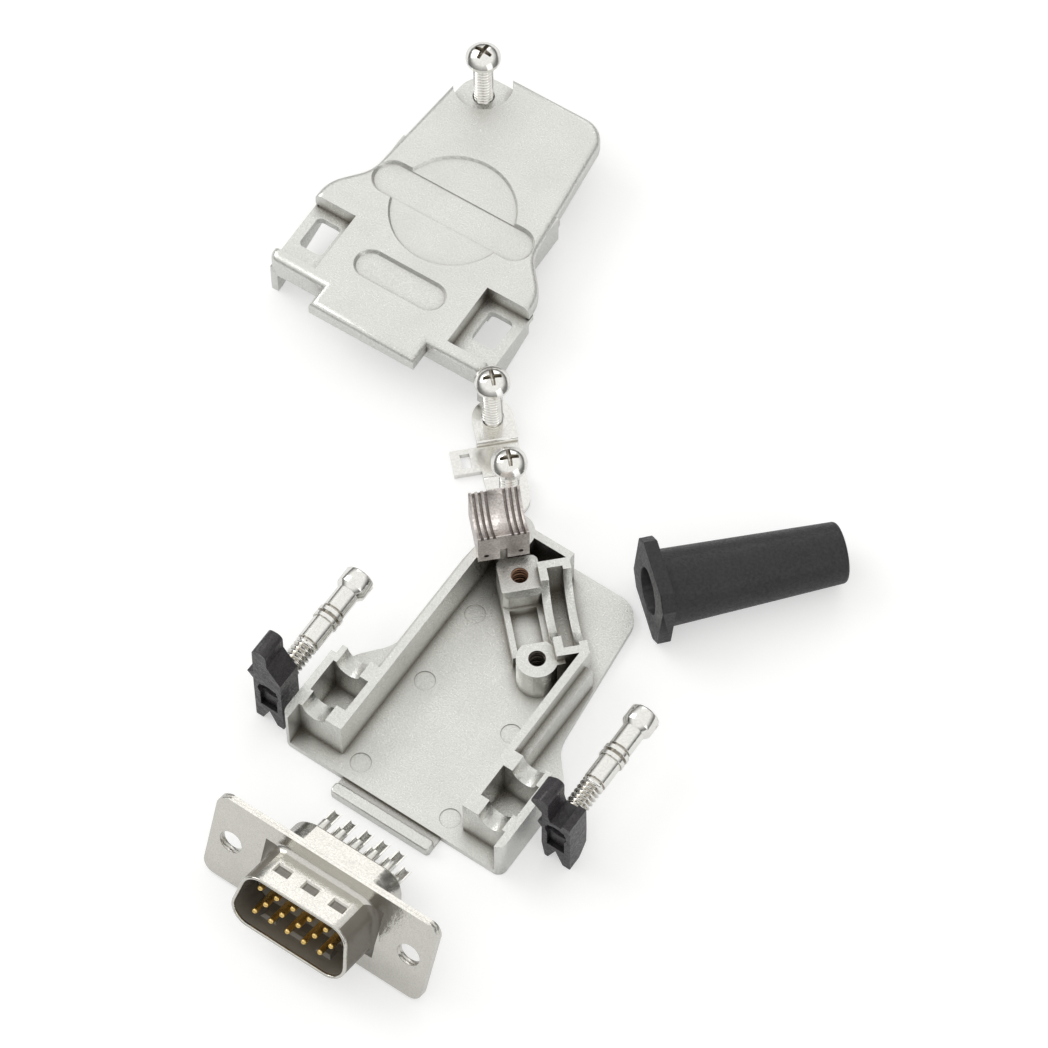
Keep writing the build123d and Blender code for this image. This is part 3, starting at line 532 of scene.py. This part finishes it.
# %% Thread tree
thread, given, result = new_tree(
    "cut_thread",
    [
        ("Starts at", "NodeSocketFloat", 0.0),
        ("Ends at", "NodeSocketFloat", 10 * MM),
        ("Pitch", "NodeSocketFloat", 0.45 * MM),
        ("Depth", "NodeSocketFloat", 0.26 * MM),
        ("Shaft radius", "NodeSocketFloat", 1.25 * MM),
        ("Finish", "NodeSocketMaterial", None),
    ],
)
place = add_node(thread, "ShaderNodeSeparateXYZ")
join(thread, add_node(thread, "GeometryNodeInputPosition").outputs[0], place.inputs[0])
x, y, z = (place.outputs[axis] for axis in "XYZ")
turn = calculate(thread, "DIVIDE", calculate(thread, "ARCTAN2", y, x), 2 * pi)
climb = calculate(thread, "DIVIDE", z, given.outputs["Pitch"])
phase = calculate(thread, "FRACT", calculate(thread, "SUBTRACT", climb, turn))
from_root = calculate(thread, "ABSOLUTE", calculate(thread, "MULTIPLY_ADD", phase, 2.0, -1.0))
flank_slope, flank_start = -1.3, 1.15
groove = calculate(thread, "MULTIPLY_ADD", from_root, flank_slope, flank_start)
groove = calculate(thread, "MINIMUM", calculate(thread, "MAXIMUM", groove, 0.0), 1.0)
lead_in = calculate(thread, "SUBTRACT", z, given.outputs["Starts at"])
run_out = calculate(thread, "SUBTRACT", given.outputs["Ends at"], z)
nearest_end = calculate(thread, "MINIMUM", lead_in, run_out)
fade = calculate(thread, "DIVIDE", nearest_end, given.outputs["Pitch"])
fade = calculate(thread, "MINIMUM", calculate(thread, "MAXIMUM", fade, 0.0), 1.0)
x_square = calculate(thread, "MULTIPLY", x, x)
y_square = calculate(thread, "MULTIPLY", y, y)
square = calculate(thread, "ADD", x_square, y_square)
never_zero = 0.01 * MM
radius = calculate(thread, "MAXIMUM", calculate(thread, "SQRT", square), never_zero)
core_share = 0.7
least = calculate(thread, "MULTIPLY", given.outputs["Shaft radius"], core_share)
on_shaft = calculate(thread, "GREATER_THAN", radius, least)
faded = calculate(thread, "MULTIPLY", groove, fade)
cut = calculate(thread, "MULTIPLY", faded, given.outputs["Depth"])
share = calculate(thread, "DIVIDE", calculate(thread, "MULTIPLY", cut, on_shaft), radius)
keep = calculate(thread, "SUBTRACT", 1.0, share)
pushed = add_node(thread, "ShaderNodeCombineXYZ")
join(thread, calculate(thread, "MULTIPLY", x, keep), pushed.inputs["X"])
join(thread, calculate(thread, "MULTIPLY", y, keep), pushed.inputs["Y"])
join(thread, z, pushed.inputs["Z"])
placed = add_node(thread, "GeometryNodeSetPosition")
join(thread, given.outputs["Geometry"], placed.inputs["Geometry"])
join(thread, pushed.outputs[0], placed.inputs["Position"])
finish_tree(thread, given, result, placed.outputs["Geometry"])
print("tree", thread.name, "nodes", len(thread.nodes))

# %% [markdown]
# ## Recess and slot
# A driver turns the screws by a cross recess and the jackscrews by a slot. Both are the same cut
# with one or two blades: a bar, copied and turned by a quarter for each blade, narrower at its
# bottom, and taken away from the head. The number of blades is one more input of the tree.

# %% Recess tree
recess, given, result = new_tree(
    "cut_recess",
    [
        ("Blades", "NodeSocketInt", 2),
        ("Span", "NodeSocketFloat", 2.5 * MM),
        ("Width", "NodeSocketFloat", 0.62 * MM),
        ("Depth", "NodeSocketFloat", 1.1 * MM),
        ("Narrowing", "NodeSocketFloat", 0.23 * MM),
        ("Head top", "NodeSocketFloat", 10 * MM),
        ("Finish", "NodeSocketMaterial", None),
    ],
)
clear_above = 0.1 * MM
tall = calculate(recess, "ADD", given.outputs["Depth"], clear_above)
bar_size = add_node(recess, "ShaderNodeCombineXYZ")
join(recess, given.outputs["Span"], bar_size.inputs["X"])
join(recess, given.outputs["Width"], bar_size.inputs["Y"])
join(recess, tall, bar_size.inputs["Z"])
blade = add_node(recess, "GeometryNodeMeshCube")
join(recess, bar_size.outputs[0], blade.inputs["Size"])
corner = add_node(recess, "ShaderNodeSeparateXYZ")
join(recess, add_node(recess, "GeometryNodeInputPosition").outputs[0], corner.inputs[0])
low_end = calculate(recess, "LESS_THAN", corner.outputs["Z"], 0.0)
narrowing = calculate(recess, "MULTIPLY", low_end, given.outputs["Narrowing"])
inwards = calculate(recess, "MULTIPLY", narrowing, -1.0)
shift = add_node(recess, "ShaderNodeCombineXYZ")
for axis in "XY":
    side = calculate(recess, "SIGN", corner.outputs[axis])
    join(recess, calculate(recess, "MULTIPLY", side, inwards), shift.inputs[axis])
narrowed = add_node(recess, "GeometryNodeSetPosition")
join(recess, blade.outputs["Mesh"], narrowed.inputs["Geometry"])
join(recess, shift.outputs[0], narrowed.inputs["Offset"])
spots = add_node(recess, "GeometryNodePoints")
join(recess, given.outputs["Blades"], spots.inputs["Count"])
cut_top = calculate(recess, "ADD", given.outputs["Head top"], clear_above)
middle = calculate(recess, "MULTIPLY_ADD", tall, -0.5, cut_top)
spot_place = add_node(recess, "ShaderNodeCombineXYZ")
join(recess, middle, spot_place.inputs["Z"])
join(recess, spot_place.outputs[0], spots.inputs["Position"])
blade_number = add_node(recess, "GeometryNodeInputIndex").outputs[0]
quarter = calculate(recess, "MULTIPLY", blade_number, pi / 2)
spin = add_node(recess, "ShaderNodeCombineXYZ")
join(recess, quarter, spin.inputs["Z"])
blades = add_node(recess, "GeometryNodeInstanceOnPoints")
join(recess, spots.outputs[0], blades.inputs["Points"])
join(recess, narrowed.outputs["Geometry"], blades.inputs["Instance"])
join(recess, spin.outputs[0], blades.inputs["Rotation"])
cutter = add_node(recess, "GeometryNodeRealizeInstances")
join(recess, blades.outputs[0], cutter.inputs["Geometry"])
difference = add_node(recess, "GeometryNodeMeshBoolean", operation="DIFFERENCE", solver="EXACT")
difference.inputs["Self Intersection"].default_value = True
join(recess, given.outputs["Geometry"], difference.inputs["Mesh 1"])
join(recess, cutter.outputs[0], difference.inputs["Mesh 2"])
finish_tree(recess, given, result, difference.outputs["Mesh"])
print("tree", recess.name, "nodes", len(recess.nodes))

# %% [markdown]
# ## Turned pieces
# Screws and jackscrews are made on a lathe, so each is one outline of radius and height, turned
# round its axis. The mesh has the same steps as the solid that it stands for, with the sharp
# corners broken, and close rings along the threaded stretch for the thread tree to move.


# %% Lathe
def ring_of(shape, ring_radius, height, count):
    """The corners of one ring, evenly spaced round the axis. Sizes are in millimetres."""
    angles = [2 * pi * n / count for n in range(count)]
    return [
        shape.verts.new(Vector((ring_radius * cos(a), ring_radius * sin(a), height)) * MM)
        for a in angles
    ]


def turned_mesh(name, outline, threaded_to, ring_step, around=48):
    """A lathed mesh from (radius, height) points in mm, with close rings up to one height."""
    rings = [outline[0]]
    for (r0, z0), (r1, z1) in zip(outline, outline[1:]):
        count = ceil((z1 - z0) / ring_step) if z1 <= threaded_to and z1 > z0 else 1
        for n in range(1, count + 1):
            rings.append((r0 + (r1 - r0) * n / count, z0 + (z1 - z0) * n / count))
    shape = bmesh.new()
    loops = [
        ring_of(shape, ring_radius, height, around if ring_radius > 0 else 1)
        for ring_radius, height in rings
    ]
    for lower, upper in zip(loops, loops[1:]):
        for n in range(around):
            corners = [lower[n % len(lower)], lower[(n + 1) % len(lower)]]
            corners += [upper[(n + 1) % len(upper)], upper[n % len(upper)]]
            shape.faces.new(list(dict.fromkeys(corners)))
    mesh = bpy.data.meshes.new(name)
    shape.to_mesh(mesh)
    shape.free()
    mesh.polygons.foreach_set("use_smooth", [True] * len(mesh.polygons))
    return mesh


print("lathe ready")

# %% Screw outline
corner_break = 0.08
head_arc_steps = 7


def screw_outline(shaft_r, length, tip, head_r, head_h, rim_h):
    """Radius and height of a pan head screw in mm, from its tip to the top of its dome."""
    dome_h = head_h - rim_h
    dome_r = (head_r**2 + dome_h**2) / (2 * dome_h)
    outline = [
        (0, 0),
        (shaft_r - tip, 0),
        (shaft_r, tip),
        (shaft_r, length),
        (head_r - corner_break, length),
        (head_r, length + corner_break),
        (head_r, length + rim_h),
    ]
    for step in range(1, head_arc_steps + 1):
        across = head_r * (1 - step / head_arc_steps)
        drop = dome_r - sqrt(dome_r**2 - across**2)
        outline.append((across, length + head_h - drop))
    return outline


screw_size = {"shaft_r": 1.25, "tip": 0.35, "head_r": 2.2, "head_h": 1.9, "rim_h": 0.6}
sample_length = 9.5
print("outline points", len(screw_outline(length=sample_length, **screw_size)))

# %% [markdown]
# The three small screws stand on their tips, so each stands in the middle of its CAD box. The box
# also gives the length, because the recess only takes a little off the top of the dome. Screws and
# jackscrews give the thread tree the same kinds of sizes, so one function writes them down.


# %% Thread values
def thread_values(pitch, depth, shaft_r, stops_at):
    """Inputs of the thread tree, from sizes in mm. The start lies a pitch below the tip."""
    return {
        "Starts at": -pitch * MM,
        "Ends at": stops_at * MM,
        "Pitch": pitch * MM,
        "Depth": depth * MM,
        "Shaft radius": shaft_r * MM,
        "Finish": bright_nickel,
    }


fine_pitch, fine_depth = 0.6, 0.38
coarse_pitch, coarse_depth = 0.635, 0.37
print("pitches in mm", fine_pitch, coarse_pitch)

# %% Pan head screws
dome_cut = 0.04
plain_neck = 0.3
cross_depth = 0.85
screw_turns = {"cover_screw": 2.0, "clamp_screw_near": -45.0, "clamp_screw_far": -45.0}
for name, turn_degrees in screw_turns.items():
    low_corner, high_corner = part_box(name)
    middle = (low_corner + high_corner) / 2
    head_top = round((high_corner.z - low_corner.z) / MM + dome_cut, 1)
    length = head_top - screw_size["head_h"]
    mesh = turned_mesh(name, screw_outline(length=length, **screw_size), length, fine_pitch / 8)
    cut_thread = thread_values(fine_pitch, fine_depth, screw_size["shaft_r"], length - plain_neck)
    cut_cross = {
        "Blades": 2,
        "Depth": cross_depth * MM,
        "Head top": head_top * MM,
        "Finish": bright_nickel,
    }
    stands_at = Matrix.Translation((middle.x, middle.y, low_corner.z))
    place = stands_at @ Matrix.Rotation(radians(turn_degrees), 4, "Z")
    piece = run_trees(name + "_turned", mesh, [(thread, cut_thread), (recess, cut_cross)], place)
    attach(piece, "kit")
    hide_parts(name)
    print(piece.name, "length", round(length, 2), "faces", len(piece.data.polygons))

# %% [markdown]
# Each jackscrew lies along Y through its clip. Its joint in the record gives the place where its
# tip starts, so the piece can't drift away from the axis that it spins about.

# %% Outline of a jackscrew
thread_length = 6.0
thread_r, neck_r, shank_r, collar_r, jack_head_r = 1.4225, 1.2, 1.45, 1.65, 1.95
tip = [(0, 0), (1.1725, 0), (thread_r, 0.5), (thread_r, thread_length)]
front_shank = [(neck_r, 6.02), (neck_r, 6.35), (1.4, 6.35), (shank_r, 6.4), (shank_r, 9.55)]
front_collar = [(1.6, 9.55), (collar_r, 9.6), (collar_r, 10.1), (1.6, 10.15)]
waist = [(neck_r, 10.15), (neck_r, 10.5)]
rear_collar = [(1.6, 10.5), (collar_r, 10.55), (collar_r, 11.05), (1.6, 11.1)]
rear_shank = [(neck_r, 11.1), (neck_r, 11.45), (1.4, 11.45), (shank_r, 11.5), (shank_r, 14.35)]
jack_head = [(1.9, 14.88), (jack_head_r, 14.98), (jack_head_r, 16.85), (1.88, 16.97)]
jack_top = [(1.7, 17.1), (0, 17.1)]
jack_outline = tip + front_shank + front_collar + waist + rear_collar + rear_shank
jack_outline += jack_head + jack_top
print("outline points", len(jack_outline), "length", jack_outline[-1][1])

# %% Jackscrews
slot_span, slot_width, slot_depth = 5.85, 0.7, 1.0
along_y = Matrix.Rotation(radians(-90), 4, "X")
for joint in frame["joints"]:
    name = "jackscrew_" + joint["child"].split("_")[0]
    mesh = turned_mesh(name, jack_outline, thread_length, coarse_pitch / 9)
    cut_thread = thread_values(coarse_pitch, coarse_depth, thread_r, thread_length)
    cut_slot = {
        "Blades": 1,
        "Span": slot_span * MM,
        "Width": slot_width * MM,
        "Depth": slot_depth * MM,
        "Narrowing": 0.0,
        "Head top": jack_outline[-1][1] * MM,
        "Finish": bright_nickel,
    }
    place = Matrix.Translation(Vector(joint["pos_m"])) @ along_y
    piece = run_trees(name + "_turned", mesh, [(thread, cut_thread), (recess, cut_slot)], place)
    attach(piece, joint["child"])
    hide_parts(name)
    print(piece.name, "rides", joint["child"], "faces", len(piece.data.polygons))

# %% [markdown]
# The two tapped holes in the base carry the same fine thread. Only a few turns can be seen, so
# each hole gets a thin wire that climbs along its wall: a spiral curve with a small round profile.

# %% Wire thread tree
wire, given, result = new_tree(
    "hole_thread",
    [
        ("Turns", "NodeSocketFloat", 8.0),
        ("Pitch", "NodeSocketFloat", 0.45 * MM),
        ("Hole radius", "NodeSocketFloat", 1.05 * MM),
        ("Wire radius", "NodeSocketFloat", 0.09 * MM),
        ("Finish", "NodeSocketMaterial", None),
    ],
)
spiral = add_node(wire, "GeometryNodeCurveSpiral")
spiral.inputs["Resolution"].default_value = 24
join(wire, given.outputs["Turns"], spiral.inputs["Rotations"])
for end in ("Start Radius", "End Radius"):
    join(wire, given.outputs["Hole radius"], spiral.inputs[end])
height = calculate(wire, "MULTIPLY", given.outputs["Turns"], given.outputs["Pitch"])
join(wire, height, spiral.inputs["Height"])
profile = add_node(wire, "GeometryNodeCurvePrimitiveCircle")
profile.inputs["Resolution"].default_value = 6
join(wire, given.outputs["Wire radius"], profile.inputs["Radius"])
swept = add_node(wire, "GeometryNodeCurveToMesh")
swept.inputs["Fill Caps"].default_value = True
join(wire, spiral.outputs[0], swept.inputs["Curve"])
join(wire, profile.outputs[0], swept.inputs["Profile Curve"])
finish_tree(wire, given, result, swept.outputs["Mesh"])
print("tree", wire.name, "nodes", len(wire.nodes))

# %% Threads in the tapped holes
hole_metal = {"metallic": 1.0, "roughness": 0.4, "spread": 0.2}
hole_grain = {"grain_mm": 0.2, "cloud_mm": 1.0, "bump_mm": 0.01}
copper = {"base": (0.62, 0.38, 0.26), "cloud_color": (0.40, 0.24, 0.16)}
# Painted shade: the near hole's thread is painted dark, and the far hole's thread keeps its copper.
dark = {"base": (0.20, 0.17, 0.15), "cloud_color": (0.12, 0.10, 0.09)}
hole_finish = {
    "far": finish("hole_copper", **copper, **hole_metal, **hole_grain),
    "near": finish("hole_painted_shade", **dark, **hole_metal, **hole_grain),
}
hole_turns = 9.0
rim_drop = 0.12 * MM
for spot_name, spot in hole_spots.items():
    values = {"Turns": hole_turns, "Pitch": fine_pitch * MM, "Finish": hole_finish[spot_name]}
    foot = boss_top - hole_turns * fine_pitch * MM - rim_drop
    empty_mesh = bpy.data.meshes.new("hole_" + spot_name)
    place = Matrix.Translation((spot.x, spot.y, foot))
    piece = run_trees(f"hole_thread_{spot_name}", empty_mesh, [(wire, values)], place)
    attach(piece, "kit")
    print(piece.name, "faces", len(piece.data.polygons))

# %% [markdown]
# ## Dress the solids
# Real cast and moulded edges are never knife sharp, and it is the thin bright line along an edge
# that tells metal from paint. The CAD solids stay as they are. A bevel modifier rounds their
# edges for the picture, after a weld has joined the corners that the model file keeps apart. The
# width of the bevel follows how each piece is made: wide on the castings, narrow on stampings.

# %% Dress
# Each solid gets a finish, the width of its bevel in mm and the segments of the bevel.
dress = {
    "base_shell": (base_finish, 0.16, 2),
    "cover_shell": (satin_zinc, 0.12, 2),
    "clamp_strap": (bright_nickel, 0.07, 2),
    "clamp_insert": (warm_zinc, 0.05, 1),
    "cable_boot": (black_rubber, 0.16, 2),
    "jackscrew_clip_left": (black_plastic, 0.09, 2),
    "jackscrew_clip_right": (black_plastic, 0.09, 2),
    "connector_front_shell": (shell_with_painted_shade, 0.08, 2),
    "connector_rear_shell": (tinned_steel, 0.08, 2),
    "connector_front_insulator": (insulator_plastic, 0.03, 1),
    "connector_rear_insulator": (insulator_plastic, 0.03, 1),
}
for name in nodes:
    if name.startswith("contact_"):
        dress[name] = (gold_plate, 0.02, 1)
weld_distance = 0.002 * MM
least_edge_angle = radians(34)
for name, (material, bevel_mm, segments) in dress.items():
    solid = nodes[name]
    solid.data.materials.clear()
    solid.data.materials.append(material)
    weld = solid.modifiers.new("weld", "WELD")
    weld.merge_threshold = weld_distance
    soften = solid.modifiers.new("soften", "BEVEL")
    soften.width = bevel_mm * MM
    soften.segments = segments
    soften.limit_method = "ANGLE"
    soften.angle_limit = least_edge_angle
    soften.harden_normals = True
print("dressed", len(dress), "solids")

# %% [markdown]
# ## Look
# The standard view transform keeps white paper white.

# %% Colour
bpy.context.scene.view_settings.view_transform = "Standard"
